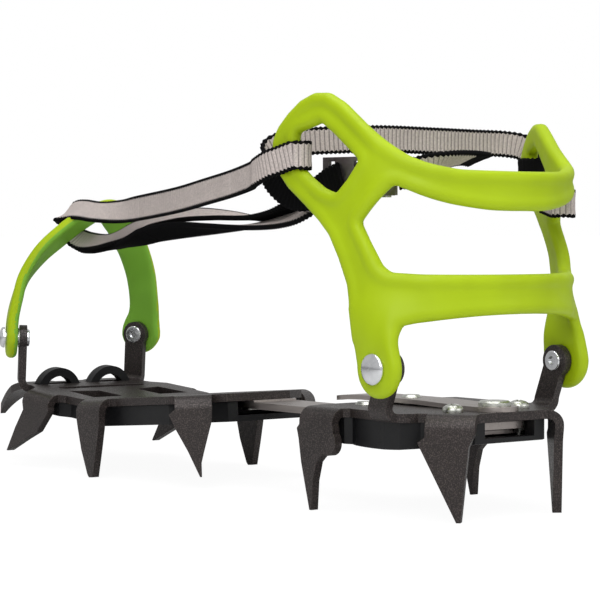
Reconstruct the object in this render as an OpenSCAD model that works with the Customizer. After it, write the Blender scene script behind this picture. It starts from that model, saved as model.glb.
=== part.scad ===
// Mountaineering crampon, strap-on, twelve points. Millimetres, +Z up, +Y towards the toe,
// +X towards the right. Origin: centre of the footprint, on the ground under the points.

/* [Steel sheet] */
// Thickness of the bent steel sheet
steel_t = 3; // [2.6:0.1:3.2]
// Inner radius of every bend
bend_r = 2; // [1.6:0.1:2.4]

/* [Heel frame] */
// Height of the top of the heel plate above the point tips
heel_h = 35; // [33:0.5:38]
// Half spacing of the front heel points
heel_front_half = 37; // [36:0.5:39]
// Half spacing of the rear heel points
heel_rear_half = 22; // [21:0.5:23]
// Turn of the rear heel points inwards, degrees
heel_rear_turn = 36; // [34:1:38]
// Width of the upright posts
post_w = 9; // [8.5:0.5:10]
// Height of the heel pivot above the heel plate
heel_pivot_h = 15; // [14.5:0.5:17]

/* [Front frame] */
// Slope of the rear half of the front plate, rear end raised, degrees
front_slope = 4.5; // [4:0.1:5]
// Slope of the toe half of the front plate, toe end raised, degrees
toe_slope = 4; // [3.5:0.1:4.5]
// Half spacing of the widest points
wide_half = 38.4; // [38:0.5:41]
// Half spacing of the second row of points
second_half = 36; // [35.5:0.5:38]
// Reach of the front points ahead of the plate
front_reach = 32; // [26:1:34]
// Place of the toe edge of the front plate, ahead of the heel frame's front edge line
toe_y = 205; // [200:1:210]
// Turn of the toe posts forwards, degrees
toe_turn = 28; // [26:1:30]
// Height of the toe pivot above the front plate
toe_pivot_h = 19; // [18.5:0.5:21]

/* [Link bar] */
// Width of the link bar
bar_w = 20; // [18:0.5:21]
// Thickness of the link bar
bar_t = 2.5; // [2.2:0.1:2.8]
// Spacing of the length holes
hole_pitch = 8; // [7.5:0.5:9]

/* [Harness] */
// Thickness of the moulded heel basket
basket_t = 5; // [4.5:0.1:5.2]
// Height of the left loop of the basket above the heel pivot
basket_h = 90.4; // [86:0.4:94]
// Thickness of the moulded toe bail
bail_t = 4.5; // [4:0.1:4.8]
// Width of the toe bail band
bail_w = 13; // [12:0.5:14]
// Width of the webbing
web_w = 9.6; // [9:0.2:10]
// Thickness of the webbing
web_t = 1.5; // [1.2:0.1:1.6]

/* [Fasteners] */
// Diameter of the pivot rivet heads
rivet_head_d = 10.5; // [9.5:0.5:11]
// Diameter of the pivot rivet shanks
rivet_d = 5; // [4.6:0.1:5.2]
// Diameter of the screw heads
screw_head_d = 7; // [6.5:0.5:7.5]

/* [Hidden] */
$fn = 48;
t = steel_t;
ri = bend_r;
ro = ri + t;
mid = ri + t / 2;
run = 0.05;
// Set-back of the sheet behind its turned bend lines, and overlap of the two halves at the fold
lap = 0.2;
// Root of each bend inside the sheet, and its cover
root = 0.4;
skin = 0.05;
fold_lap = 1.2;
arm_gap = 0.5;
pad_gap = 0.2;
toe_gap = 0.9;
front_y = 78;
fold_y = 152;
fold_z = heel_h - 0.6 - (fold_y - front_y) * tan(front_slope);
tip_r = 46;
tip_drop = tip_r - sqrt(pow(tip_r - t, 2) - pow(front_reach, 2));
tip_y = fold_y + (toe_y - fold_y + front_reach) * cos(toe_slope) + tip_drop * sin(toe_slope);
// Depth of the widest points below the sheet, down to the ground
wide_drop = (fold_z + (fold_y - 137) * sin(front_slope)) / cos(front_slope);
// Forward shift of the right rear corner of the front plate
skew = 8;
pivot_y = -41;
pivot_z = heel_h + heel_pivot_h;
post_x = 38;
lobe_x = post_x + t / 2 + arm_gap;
bar_top = heel_h - t - 0.6;
pin_y = -8;
bar_half = bar_w / 2;
bar_end = -53;
rear_base = [heel_rear_half - mid * cos(heel_rear_turn), -55.3];
rear_dir = [sin(heel_rear_turn), cos(heel_rear_turn)];
rear_out = [cos(heel_rear_turn), -sin(heel_rear_turn)];
corner_base = [28.15, 82.8];
corner_turn = 36;
corner_dir = [cos(corner_turn), sin(corner_turn)];
corner_out = [sin(corner_turn), -cos(corner_turn)];
toe_base = [24.9, toe_y - 3.2];
// Shift of the toe's features with the toe edge
toe_shift = toe_y - 205;
toe_dir = [-sin(toe_turn), cos(toe_turn)];
toe_out = [cos(toe_turn), sin(toe_turn)];
// Heel basket plan: corner arcs, rear arc and sides that open towards the toe
open_l = 12;
open_r = 30;
loop_drop = 7.5;
corner_r = 27;
corner_c = [15.5, -33.5];
rear_r = 55;
rear_c = corner_c[1] + sqrt(pow(rear_r - corner_r, 2) - pow(corner_c[0], 2));
rear_y = rear_c - rear_r;
y0 = (tip_y + rear_y) / 2;
// Sideways shift to the middle of the footprint, as the right side of the harness reaches further out
x0 = 7.4;
function opening(s) = s > 0 ? open_r : open_l;
function wall_x(s, y) = corner_c[0] + corner_r * cos(opening(s))
  + (y - corner_c[1] + corner_r * sin(opening(s))) * tan(opening(s));

// Shared placing
module world() { translate([-x0, -y0, 0]) children(); }
// Rear half and toe half of the front plate, folded about the line at fold_y
module on_front() {
  world() translate([0, fold_y, fold_z]) rotate([-front_slope, 0, 0]) translate([0, -fold_y, 0]) children();
}
module on_toe() {
  world() translate([0, fold_y, fold_z]) rotate([toe_slope, 0, 0]) translate([0, -fold_y, 0]) children();
}
// Closed outline from its right half, given from the toe end to the heel end
function sym(p) = concat(p, [for (i = [len(p) - 1:-1:0]) [-p[i][0], p[i][1]]]);
function skewed(a, b) = concat(a, [for (i = [len(b) - 1:-1:0]) [-b[i][0], b[i][1]]]);
module both() {
  children();
  mirror([1, 0, 0]) children();
}
// Edge frame: x along the bend line, y outwards from the sheet, z up from the sheet top
module edge_at(x, y, turn) { translate([x, y, 0]) rotate([0, 0, turn]) children(); }

// Quarter bend and blade, downwards from the sheet edge
module down_bend(a, b) {
  translate([a + root, -2 * root, -t + skin]) cube([b - a - 2 * root, 3 * root, t - 2 * skin]);
  translate([a, 0, -ro]) rotate([90, 0, 90]) rotate_extrude(angle = 90) translate([ri, 0])
    square([t, b - a]);
}
module down_blade(pts) {
  translate([0, ro, 0]) rotate([90, 0, 0]) linear_extrude(t) polygon(pts);
}
module down_point(a, b, pts) {
  down_bend(a, b);
  down_blade(pts);
}
// Upright post with a rounded eye, upwards from the sheet edge
module up_post(w, h, lean, hole_d) {
  translate([0, 0, -t]) mirror([0, 0, 1]) down_bend(-w / 2, w / 2);
  translate([0, ro, 0]) rotate([90, 0, 0]) difference() {
    linear_extrude(t) difference() {
      union() {
        polygon([[-w / 2, ri], [w / 2, ri], [w / 2 + lean, h], [-w / 2 + lean, h]]);
        translate([lean, h]) circle(d = w + 2);
      }
      translate([lean, h]) circle(d = hole_d);
    }
  }
}

// Pivot rivet: domed outer head, shank, formed tail; axis along y, head at the far end
module pivot_rivet(grip, tail, head) {
  rotate([-90, 0, 0]) rotate_extrude() polygon(concat(
    [[0, -tail + 0.7], [1.5, -tail + 0.7], [1.5, -tail], [rivet_d / 2 + 0.7, -tail],
     [rivet_d / 2 + 1, -tail + 0.3], [rivet_d / 2 + 1, 0], [rivet_d / 2, 0], [rivet_d / 2, grip],
     [head / 2, grip], [head / 2, grip + 0.6]],
    [for (k = [1:7]) [head / 2 * cos(k * 90 / 8), grip + 0.6 + 1.7 * sin(k * 90 / 8)]], [[0, grip + 2.3]]));
}

// Front plate: folded sheet, points and toe posts
function corner_edge(k, a) = corner_base + [0, k] + a * corner_dir - lap * corner_out;
function toe_edge(a) = toe_base + a * toe_dir - lap * toe_out;
function rear_half(k) = [[30.3, fold_y + fold_lap], [32, 147], [wide_half - mid, 144], [wide_half - mid, 128],
  [34, 125], [34.4, 89 + k], corner_edge(k, 7), corner_edge(k, -7.2), [19.5, 73 + k * 0.6], [9, 71.5]];
function toe_half() = [[22.4, toe_y + 1.4], toe_edge(post_w / 2), toe_edge(-post_w / 2), [28.5, toe_y - 13],
  [second_half - mid, toe_y - 18], [second_half - mid, toe_y - 37], [31, toe_y - 40], [30.7, fold_y + 2],
  [29.9, fold_y - fold_lap]];
module slot(x1, x2, y, r) {
  translate([x1, y - r]) square([x2 - x1, 2 * r]);
  translate([x1, y]) circle(r);
  translate([x2, y]) circle(r);
}
// Windows behind and ahead of the web at the fold
module rear_windows() {
  for (s = [-1, 1]) polygon([[s * 9, fold_y - 5], [s * 23.4, fold_y - 5], [s * 25, 129], [s * 14, 121],
    [s * 9, 127]]);
}
module toe_windows() {
  for (s = [-1, 1]) polygon([[s * 9, toe_y - 31], [s * 22, toe_y - 28], [s * 22.8, fold_y + 5],
    [s * 9, fold_y + 5]]);
}
module rear_sheet() {
  difference() {
    translate([0, 0, -t]) linear_extrude(t) difference() {
      polygon(skewed(rear_half(skew), rear_half(0)));
      rear_windows();
      for (y = [84, 100]) translate([0, y]) circle(d = 5 + 2 * run);
    }
    // countersinks for the bar rivets
    for (y = [84, 100]) translate([0, y, -1.6]) cylinder(d1 = 5 + 2 * run, d2 = 10 + 2 * run, h = 2);
  }
}
module toe_sheet() {
  translate([0, 0, -t]) linear_extrude(t) difference() {
    polygon(sym(toe_half()));
    toe_windows();
    slot(-18, 18, toe_y - 19, 2.6);
    for (s = [-1, 1]) translate([s * 12.5 - 10.7, toe_y - 6.8]) square([21.4, 4.6]);
  }
}
module front_tongue() {
  r = tip_r;
  intersection() {
    translate([16, toe_y, -r]) rotate([90, 0, 90]) translate([0, 0, -10]) linear_extrude(20) difference() {
      circle(r, $fn = 96);
      circle(r - t, $fn = 96);
      translate([-2 * r - 1, -r - 1]) square([2 * r, 2 * r + 2]);
      translate([-2, -2 * r]) square([2 * r, 2 * r]);
    }
    translate([16, 0, -40]) linear_extrude(60)
      polygon([[-6.5, toe_y - 1], [6.5, toe_y - 1], [5.4, toe_y + 17], [1.2, toe_y + front_reach],
        [-1.2, toe_y + front_reach], [-5.4, toe_y + 17]]);
  }
}
// Rear corner point, across the diagonal
module corner_point(k) {
  edge_at(corner_base[0], corner_base[1] + k, -144) mirror([1, 0, 0]) down_point(-7.2, 6.6,
    [[-7.2, -ro], [-6.8, -10], [-3.5, -21], [-2.4, -25], [-2.3, -30.2], [-1.6, -30.2], [2.4, -20.6],
     [7, -11.4], [8.9, -6.8], [6.6, -ro]]);
}
module front_plate() color("#3a3434") {
  on_front() {
    rear_sheet();
    corner_point(skew);
    mirror([1, 0, 0]) corner_point(0);
    // widest row
    both() edge_at(wide_half - mid, 0, -90) mirror([1, 0, 0]) down_point(128, 144,
      [[144, -ro], [144, -7], [143.3, -11], [141.6, -19], [138, 1.1 - wide_drop], [137, -wide_drop],
       [134.6, -wide_drop],
       [131.3, -19.5], [128.8, -11], [128, -ro]]);
  }
  on_toe() {
    toe_sheet();
    both() {
      front_tongue();
      // second row, raked forwards
      edge_at(second_half - mid, toe_shift, -90) mirror([1, 0, 0]) down_point(168, 187,
        [[187, -ro], [186.2, -8], [191.8, -16], [197.8, -26.2], [196.7, -26.2], [184, -19.7], [175.4, -15.6],
         [169.2, -8.6], [167.5, -6.5], [168, -ro]]);
      // toe post
      edge_at(toe_base[0], toe_base[1], -90 + toe_turn)
        up_post(post_w - 0.5, toe_pivot_h, 0, rivet_d + 2 * run);
    }
  }
}

// Anti-balling plate under the front sheet, open at the rear for the bar, with two arches at the toe
function rear_pad(k) = [[29.5, fold_y + 0.3], [33.4, 143], [33.4, 128], [32.5, 92 + k], [20.5, 82 + k * 0.8],
  [18, 74.5 + k * 0.5], [15, 73.5]];
function toe_pad() = [[18, toe_y - 1], [23, toe_y - 9], [28, toe_y - 16], [32, toe_y - 21], [32, toe_y - 37],
  [29.5, toe_y - 42], [29.5, fold_y - 0.3]];
module front_antiball() color("#1e1e20") {
  on_front() difference() {
    translate([0, 0, -10.5]) linear_extrude(10.5 - t - pad_gap) polygon(skewed(rear_pad(skew), rear_pad(0)));
    translate([0, 0, -8.3]) linear_extrude(10)
      polygon(sym([[24, 146], [28, 138], [28, 104], [15, 92], [14, 70]]));
  }
  on_toe() {
    difference() {
      translate([0, 0, -8.6]) linear_extrude(8.6 - t - pad_gap) polygon(sym(toe_pad()));
      translate([0, 0, -6.6]) linear_extrude(10) polygon(sym([[18, toe_y - 10], [27, toe_y - 25], [25, 158]]));
    }
    both() translate([12.5, toe_y - 6.6, -3.9]) rotate([-90, 0, 0]) difference() {
      cylinder(r = 10.4, h = 4.2);
      translate([0, 0, -1]) cylinder(r = 7, h = 7);
      translate([-12, 0.6, -1]) cube([24, 12, 8]);
    }
  }
}

// Link bar: level strip with length holes, tab along the sloped front sheet
module link_bar() color("#8f8880") {
  difference() {
    union() {
      world() translate([-bar_half, bar_end, bar_top - bar_t]) cube([bar_w, 74 - bar_end, bar_t]);
      on_front() translate([-bar_half, 69, -t - bar_t]) cube([bar_w, 40, bar_t]);
    }
    world() for (k = [-3:5]) translate([0, pin_y + k * hole_pitch, bar_top - bar_t - 2])
      cylinder(d = 5.6, h = bar_t + 5);
    on_front() for (y = [84, 100]) translate([0, y, -t - bar_t - 1])
      cylinder(d = 5 + 2 * run, h = bar_t + 2);
  }
}
module bar_rivets() color("#b9b6b0") on_front() for (y = [84, 100]) translate([0, y, 0]) {
  translate([0, 0, -t - bar_t - 1.2]) cylinder(d = 8, h = 1.2);
  translate([0, 0, -t - bar_t - 0.2]) cylinder(d = 5, h = t + bar_t - 1.3);
  translate([0, 0, -1.6]) cylinder(d1 = 5, d2 = 8.7, h = 1.55);
}

// Toe pivots
module toe_rivets() color("#c9ccd0") on_toe() both()
  edge_at(toe_base[0], toe_base[1], -90 + toe_turn) translate([0, ri, toe_pivot_h])
    pivot_rivet(t + toe_gap + bail_t + 0.6, 1.1, rivet_head_d - 2);
module toe_washers() color("#b9b6b0") on_toe() both()
  edge_at(toe_base[0], toe_base[1], -90 + toe_turn) translate([0, ro, toe_pivot_h]) rotate([-90, 0, 0])
  difference() {
    cylinder(d = 8, h = 0.4);
    translate([0, 0, -1]) cylinder(d = rivet_d + 0.2, h = 3);
  }

// Heel plate
module heel_half_outline() {
  r1 = rear_base + 11.6 * rear_dir - lap * rear_out;
  r2 = rear_base - 5 * rear_dir - lap * rear_out;
  px = post_x - mid;
  fxh = heel_front_half - mid;
  polygon([[-1, 5], [0, 5], [14, 8], [27, 8], [fxh, 6], [fxh, -11.5], [31.5, -12.8], [32, -16],
    [33, -29.5], [px, -36 + post_w / 2], [px, -36 - post_w / 2], [32.5, -42.5], [28, -43.5], r1, r2,
    [14.5, -58.3], [0, -57.5], [-1, -57.5]]);
}
module heel_plate() color("#3a3434") world() translate([0, 0, heel_h]) {
  translate([0, 0, -t]) linear_extrude(t) difference() {
    both() heel_half_outline();
    translate([0, -50]) circle(d = 6 + 2 * run);
    translate([0, pin_y]) circle(d = 8);
    for (s = [-1, 1]) {
      translate([s * 15, -46]) circle(d = 4 + 2 * run);
      translate([s * 15.5, -1.4]) circle(d = 4 + 2 * run);
    }
  }
  both() {
    // front points with a round ear behind
    edge_at(heel_front_half - mid, 0, -90) mirror([1, 0, 0]) {
      down_point(-11.5, 6, [[6, -ro], [6, -6], [7.4, -7.5], [6.4, -11], [5, -19], [2.9, -26.5],
        [0.5, -heel_h], [-0.5, -heel_h], [-1.3, -25], [-3.2, -18.5], [-6.5, -15.5], [-12, -12], [-12, -7],
        [-11.5, -ro]]);
      translate([-8.9, ro, -11.5]) rotate([90, 0, 0]) cylinder(r = 4.4, h = t);
    }
    // rear points, turned inwards
    edge_at(rear_base[0], rear_base[1], -90 - heel_rear_turn) mirror([1, 0, 0]) down_point(-5, 11.6,
      [[11.6, -ro], [11.6, -7.4], [14.1, -9.2], [1.1, -heel_h], [-0.3, -heel_h], [-2.9, -10.5], [-5, -6],
       [-5, -ro]]);
    edge_at(post_x - mid, -36, -90) mirror([1, 0, 0])
      up_post(post_w, heel_pivot_h, pivot_y + 36, rivet_d + 2 * run);
  }
}

// Anti-balling tray under the heel sheet
module heel_antiball() color("#1e1e20") world() translate([0, 0, heel_h]) difference() {
  intersection() {
    translate([0, 0, -15]) linear_extrude(15 - t)
      polygon(sym([[14, 7], [26, 7], [32.6, 5], [32.6, -11], [30.6, -13], [31.5, -16], [32.5, -29], [33, -32],
        [33, -40], [27, -43.5], [25, -46], [15.6, -57.4]]));
    translate([-50, -25, 187.5]) rotate([0, 90, 0]) cylinder(r = 200, h = 100, $fn = 900);
  }
  translate([0, 0, -10]) linear_extrude(20)
    polygon(sym([[20, 2], [29, 1], [29, -36], [24.5, -42], [20.3, -49.9], [16, -53]]));
  translate([-bar_half - 1.2, -70, -8.4]) cube([bar_w + 2.4, 100, 8.4 - t]);
}

// Saddles that guide the bar under the heel sheet
module guide_section() {
  g = bar_half + 0.4;
  w = 1.2;
  polygon([[19, -t], [19, -t - 1.5], [g + w, -t - 1.5], [g + w, -t - 5], [-g - w, -t - 5], [-g - w, -t - 1.5],
    [-19, -t - 1.5], [-19, -t], [-g, -t], [-g, -t - 3.6], [g, -t - 3.6], [g, -t]]);
}
module bar_guides() color("#8f8880") world() translate([0, 0, heel_h]) difference() {
  for (y = [[-49.6, -20], [-5, 1.6]]) translate([0, y[1], 0]) rotate([90, 0, 0])
    linear_extrude(y[1] - y[0]) guide_section();
  for (s = [-1, 1]) {
    translate([s * 15, -46, -10]) cylinder(d = 4 + 2 * run, h = 20);
    translate([s * 15.5, -1.4, -10]) cylinder(d = 4 + 2 * run, h = 20);
  }
}
module guide_rivets() color("#b9b6b0") world() translate([0, 0, heel_h])
  for (s = [-1, 1]) translate([s * 15.5, -1.4, 0]) {
    translate([0, 0, -t - 2.5]) cylinder(d = 6, h = 1);
    translate([0, 0, -t - 2]) cylinder(d = 4, h = t + 2.4);
    cylinder(d1 = 7, d2 = 5, h = 1);
  }

// Pan-head screws with a cross recess, and their nuts
module heel_screws() color("#c2c4bd") world() translate([0, 0, heel_h])
  for (s = [-1, 1]) translate([s * 15, -46, 0]) difference() {
    rotate_extrude() polygon(concat([[0, -9], [2, -9], [2, 0], [screw_head_d / 2, 0], [screw_head_d / 2, 0.8]],
      [for (k = [1:6]) [screw_head_d / 2 * cos(k * 15), 0.8 + 2 * sin(k * 15)]]));
    for (a = [35, 125]) rotate([0, 0, a]) translate([-1.9, -0.45, 1.6]) cube([3.8, 0.9, 3]);
  }
module heel_nuts() color("#b9b6b0") world() translate([0, 0, heel_h])
  for (s = [-1, 1]) translate([s * 15, -46, -t - 4.5]) difference() {
    rotate([0, 0, 30]) linear_extrude(3) circle(d = 7, $fn = 6);
    translate([0, 0, -1]) cylinder(d = 4 + 2 * run, h = 6);
  }

// Heel pivots
module heel_rivets() color("#c9ccd0") world() both() translate([post_x - t / 2, pivot_y, pivot_z])
  rotate([0, 0, -90]) pivot_rivet(t + arm_gap + basket_t + 0.1, 1.2, rivet_head_d);
module heel_washers() color("#b9b6b0") world() both() translate([post_x + t / 2, pivot_y, pivot_z])
  rotate([0, 90, 0]) difference() {
    cylinder(d = 9, h = 0.4);
    translate([0, 0, -1]) cylinder(d = rivet_d + 0.2, h = 3);
  }

// Length lock: leaf held by a flat rivet, its free part, and the pin
module lever_rivet() color("#c2c4bd") world() translate([0, -50, heel_h]) {
  translate([0, 0, -t]) cylinder(d = 6, h = t + 2);
  translate([0, 0, 1.6]) cylinder(d = 11, h = 1.2);
  translate([0, 0, 2.8]) cylinder(d1 = 11, d2 = 9.4, h = 0.6);
}
module lever_tail() color("#6d635c") world() translate([0, 0, heel_h]) linear_extrude(1.6) difference() {
  union() {
    translate([0, -50]) circle(d = 16);
    translate([-8, -50]) square([16, 8]);
  }
  translate([0, -50]) circle(d = 6 + 2 * run);
}
module lock_lever() color("#6d635c") world() translate([0, 0, heel_h]) difference() {
  intersection() {
    rotate([90, 0, 90]) translate([0, 0, -9]) linear_extrude(18)
      polygon([[-41.7, 0], [-41.7, 1.6], [-20, 2.2], [10, 2.2], [20, 1.8], [28, 0.9], [29, 0.3], [29, -0.8],
        [20, 0.2], [10, 0.6], [-20, 0.6], [-41, 0]]);
    translate([0, 0, -5]) linear_extrude(15) {
      polygon([[-8, -45], [8, -45], [7.5, 21], [-7.5, 21]]);
      translate([0, 21]) circle(d = 15);
    }
  }
  translate([0, pin_y, -5]) cylinder(d = 4 + 2 * run, h = 20);
}
module lock_pin() color("#b9b6b0") world() translate([0, pin_y, heel_h]) {
  translate([0, 0, -t - 0.3]) cylinder(d = 5.2, h = t + 0.9);
  translate([0, 0, -t - 0.3]) cylinder(d = 4, h = t + 2.5);
  translate([0, 0, 2.2]) cylinder(d1 = 7.5, d2 = 5.5, h = 0.9);
}

// Heel basket: moulded wall bent round the heel, cut to arms, bands and loops
module basket_half(o, a) {
  k = corner_r - o;
  s = [corner_c[0] + k * cos(a), corner_c[1] - k * sin(a)];
  f = [s[0] + 60 * tan(a), s[1] + 60];
  translate(corner_c) circle(k, $fn = 96);
  polygon([[-1, rear_c], [-1, f[1]], f, s, corner_c]);
}
module basket_plan(o) {
  u = [corner_c[0], corner_c[1] - rear_c] / (rear_r - corner_r);
  basket_half(o, open_r);
  mirror([1, 0]) basket_half(o, open_l);
  intersection() {
    translate([0, rear_c]) circle(rear_r - o, $fn = 128);
    polygon([[0, rear_c], [0, rear_c] + 80 * u, [0, rear_c] + 80 * [-u[0], u[1]]]);
  }
}
// Side view of the wall; the right loop is pulled outwards and sits lower by d
function clamp(v) = max(0, min(1, v));
function pulled(y, d) = y > -40 && d > 0 ? -40 + (y + 40) * cos(open_r) / cos(open_l) : y;
function rise(z) = z + (z - 50) * (basket_h / 90.4 - 1);
function flex(p, d) = [for (q = p)
  [pulled(q[0], d), rise(q[1] - d * clamp((q[0] + 58) / 30) * clamp((q[1] - 100) / 40))]];
module basket_side(d) {
  difference() {
    polygon(flex([[-30.7, 61], [-30.6, 66], [-28.8, 77], [-25.2, 85.8], [-21.2, 93.4], [-17, 98],
      [-10.5, 103.7], [-4, 109], [0.5, 114.5], [2.9, 120], [2.6, 125], [0.3, 129.5], [-4, 134], [-9.1, 138],
      [-15, 140.4], [-21, 140.2], [-27.2, 136.8], [-36.7, 128.9], [-43.7, 123.2], [-49.4, 118.9],
      [-54.4, 116.6], [-60, 114.6], [-72, 113.7], [-72, 100.6], [-64, 101.3], [-58.4, 103.4], [-51.9, 106.4],
      [-45.2, 109.7], [-39.5, 104], [-33.7, 97.5], [-38, 90], [-41.8, 83.4], [-44.4, 81.3], [-52.8, 80.7],
      [-72, 80.5], [-72, 67.9], [-66.3, 67.7], [-62.3, 67], [-55.1, 65.5], [-51.8, 64.9], [-49, 64],
      [-47.8, 61]], d));
    polygon(flex([[-18.1, 130.4], [-8.4, 127.4], [-7.8, 126], [-7.8, 113.4], [-10.5, 111.6], [-22.5, 107.6],
      [-24.5, 107.4], [-29, 111.9], [-33.5, 117.7], [-29.1, 121.7], [-23.4, 126.5]], d));
  }
}
module heel_basket() color("#b2cc1f") world() difference() {
  union() {
    intersection() {
      translate([0, 0, 61]) linear_extrude(90) difference() {
        basket_plan(0);
        basket_plan(basket_t);
      }
      translate([0, 0, heel_h - 35]) rotate([90, 0, 90]) {
        translate([0, 0, -80]) linear_extrude(80.5) basket_side(0);
        translate([0, 0, -0.5]) linear_extrude(80.5) basket_side(loop_drop);
      }
    }
    both() translate([lobe_x, 0, 0]) rotate([90, 0, 90]) linear_extrude(basket_t) {
      translate([pivot_y, pivot_z]) circle(9.7);
      polygon([[pivot_y + 9.7, pivot_z], [-30.7, 62], [-30.2, 70], [-47.8, 70], [-47.8, 62],
        [pivot_y - 9.6, pivot_z + 1.5]]);
    }
  }
  translate([-80, pivot_y, pivot_z]) rotate([0, 90, 0]) cylinder(d = rivet_d + 2 * run, h = 160);
}

// Strap buckle: slotted frame with lugs, cam lever, pin
module at_buckle() { world() translate([-34, -20, rise(113) + heel_h - 35]) rotate([0, 0, -76.9]) children(); }
module buckle_frame() color("#77797c") at_buckle() difference() {
  union() {
    translate([-15, 0, -6.5]) cube([30, 1.6, 13]);
    for (z = [-6.5, 5]) translate([0, 0, z]) {
      translate([5.5, 1, 0]) cube([6, 3, 1.5]);
      translate([8.5, 4, 0]) cylinder(d = 6, h = 1.5);
    }
  }
  for (x = [-12.5, -2]) translate([x, -1, -5.1]) cube([2.6, 4, 10.2]);
  translate([8.5, 4, -9]) cylinder(d = 2.4 + 2 * run, h = 18);
}
module buckle_pin() color("#c2c4bd") at_buckle() translate([8.5, 4, 0]) {
  translate([0, 0, -6.5]) cylinder(d = 2.4, h = 13);
  translate([0, 0, 6.5]) cylinder(d = 3.6, h = 0.6);
  translate([0, 0, -7.1]) cylinder(d = 3.6, h = 0.6);
}
module buckle_lever() color("#77797c") at_buckle() difference() {
  union() {
    translate([8.5, 4, -4.8]) cylinder(d = 4.4, h = 9.6);
    translate([-9, 4.4, -4.8]) cube([17.5, 1.6, 9.6]);
  }
  translate([8.5, 4, -9]) cylinder(d = 2.4 + 2 * run, h = 18);
}

// Toe bail: two curved bands that meet over the toe
function mixp(a, b, c, d, u) = 0.5 * (2 * b + (c - a) * u + (2 * a - 5 * b + 4 * c - d) * u * u
  + (3 * b - a - 3 * c + d) * u * u * u);
function curve(p, n) = concat([for (i = [0:len(p) - 2], k = [0:n - 1])
  mixp(p[max(i - 1, 0)], p[i], p[i + 1], p[min(i + 2, len(p) - 1)], k / n)], [p[len(p) - 1]]);
function unit(v) = v / norm(v);
function tang(p, i) = unit(p[min(i + 1, len(p) - 1)] - p[max(i - 1, 0)]);
function side2(p, d) = [for (i = [0:len(p) - 1]) p[i] + d * [-tang(p, i)[1], tang(p, i)[0]]];
function rev(p) = [for (i = [len(p) - 1:-1:0]) p[i]];
bail_mid = ro + toe_gap + bail_t / 2;
bail_path = curve([[bail_mid, toe_pivot_h - 10], [bail_mid, toe_pivot_h], [bail_mid - 0.2, 27], [6.6, 34.5],
  [3.8, 44], [-2.5, 54], [-9.7, 61.8], [-17.4, 69.5], [-27.3, 75.6], [-34, 78.4]], 5);
module bail_half() {
  intersection() {
    edge_at(toe_base[0], toe_base[1], -90 + toe_turn) difference() {
      intersection() {
        rotate([90, 0, 90]) translate([0, 0, -10]) linear_extrude(20)
          polygon(concat(side2(bail_path, bail_t / 2), rev(side2(bail_path, -bail_t / 2))));
        translate([0, 30, 0]) rotate([90, 0, 0]) linear_extrude(90) {
          translate([0, toe_pivot_h]) circle(8.2);
          translate([0.8, 0]) polygon([[-8.4, toe_pivot_h], [-bail_w / 2, 34], [-bail_w / 2, 90],
            [bail_w / 2, 90], [bail_w / 2, 34], [7.4, toe_pivot_h]]);
        }
      }
      translate([0, 0, toe_pivot_h]) rotate([-90, 0, 0]) cylinder(d = rivet_d + 0.8, h = 30);
    }
    translate([0, 100, -10]) cube([80, 200, 150]);
  }
}
module toe_bail() color("#a5c41f") on_toe() both() bail_half();

// Webbing: flat band along a curved path, each station [x, y, z, width direction]
// The webbing behind the toe goes up with the basket and the heel frame
function lifted(p) = [p[0], p[1], p[2] + (rise(p[2]) - p[2] + heel_h - 35) * clamp((110 - p[1]) / 80)];
function st(p, w) = concat(lifted(p), w);
function pos(s) = [s[0], s[1], s[2]];
function dirw(s, tg) = unit([s[3], s[4], s[5]] - ([s[3], s[4], s[5]] * tg) * tg);
module band(s, wide) {
  m = len(s);
  q = [for (i = [0:m - 1]) pos(s[i])];
  ring = [for (i = [0:m - 1])
    let (tg = tang(q, i), w = dirw(s[i], tg), d = cross(tg, w))
    for (c = [[1, 1], [-1, 1], [-1, -1], [1, -1]]) q[i] + c[0] * wide / 2 * w + c[1] * web_t / 2 * d];
  polyhedron(points = ring, faces = concat([[0, 1, 2, 3]], [[4 * m - 1, 4 * m - 2, 4 * m - 3, 4 * m - 4]],
    [for (i = [0:m - 2], k = [0:3], h = [0, 1])
      let (a = 4 * i + k, b = 4 * i + (k + 1) % 4)
      h == 0 ? [a, a + 4, b + 4] : [a, b + 4, b]]));
}
up = [0, 0, 1];
// Turn of the webbing through a loop of the basket, s = side (-1 left, 1 right)
wrap_r = basket_t / 2 + 0.25 + web_t / 2;
function loop_c(s, y) = [s * (wall_x(s, y) - basket_t / 2 / cos(opening(s))), y];
function out_d(s) = [s * cos(opening(s)), -sin(opening(s))];
function fwd_d(s) = [s * sin(opening(s)), cos(opening(s))];
function turn_pt(s, y, a) = loop_c(s, y) + wrap_r * (cos(a) * out_d(s) - sin(a) * fwd_d(s));
function along(s, y, a, k, z) = st(concat(turn_pt(s, y, a) + k * fwd_d(s), [z]), up);
function wrap(s, y, z, inner, outer, fall) = concat(
  [for (k = [inner, inner / 2]) along(s, y, 180, k, z)],
  [for (a = [180:-30:0]) along(s, y, a, 0, z)],
  [for (k = [outer / 2, outer]) along(s, y, 0, k, z - fall * k / outer)]);
lie = [0.62, 0, 0.78];
half_lie = [0.36, 0, 0.93];
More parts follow.
